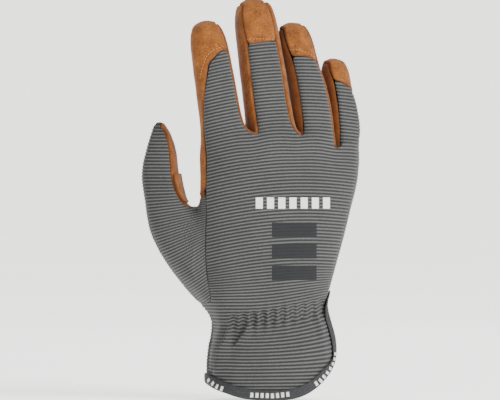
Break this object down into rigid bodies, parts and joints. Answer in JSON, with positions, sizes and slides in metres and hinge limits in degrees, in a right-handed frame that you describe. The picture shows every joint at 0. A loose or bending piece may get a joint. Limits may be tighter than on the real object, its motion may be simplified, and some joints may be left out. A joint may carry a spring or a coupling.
{
  "type": "gardening glove",
  "caption": "Gardening glove for the right hand with a ribbed stretch back, suede palm and fingertips, gathered wrist and a bound cuff with a side vent.",
  "frame": {"origin": "middle of the cuff's mouth, where the hand goes in", "axes": "+Z from the cuff to the fingertips, -Y out of the back of the hand, thumb on the -X side"},
  "size_m": [0.1382, 0.0591, 0.2519],
  "materials": {
    "ribbed_cloth": "matt ribbed stretch knit",
    "suede": "matt brushed suede",
    "binding_tape": "matt woven tape"
  },
  "bodies": {
    "root": {"back_panel": "ribbed_cloth", "palm_panel": "suede", "fourchette_index_middle": "suede", "fourchette_middle_ring": "suede", "fourchette_ring_little": "suede", "thumb_back": "ribbed_cloth", "thumb_front": "suede", "thumb_patch": "suede", "cuff_binding": "binding_tape"}
  },
  "joints": []
}
